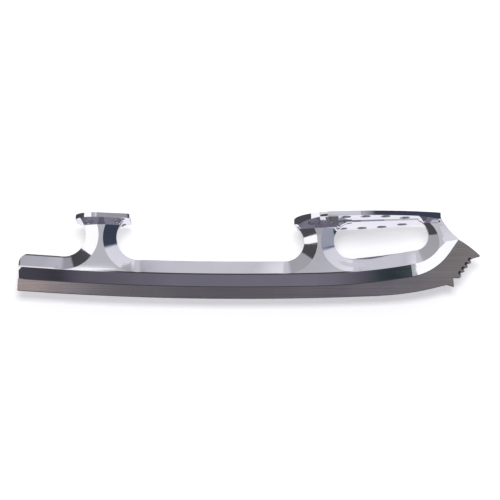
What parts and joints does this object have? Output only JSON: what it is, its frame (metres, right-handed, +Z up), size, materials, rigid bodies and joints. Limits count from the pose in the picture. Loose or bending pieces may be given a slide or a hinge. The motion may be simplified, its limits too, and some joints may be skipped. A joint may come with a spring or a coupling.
{
  "type": "ice skate blade",
  "caption": "Figure skate blade with a machined metal chassis, heel and sole plates for screws, a toe window and a bonded steel runner with toe picks.",
  "frame": {"origin": "under the middle of the blade's length, on its centre plane, level with the lowest point of the skating edge", "axes": "+X from tail to toe, +Y to the skater's left, +Z up toward the boot"},
  "size_m": [0.3246, 0.053, 0.0594],
  "materials": {
    "chassis_metal": "polished",
    "runner_steel": "ground",
    "adhesive": "matte"
  },
  "bodies": {
    "root": {"chassis": "chassis_metal", "runner": "runner_steel", "bond_film": "adhesive"}
  },
  "joints": []
}
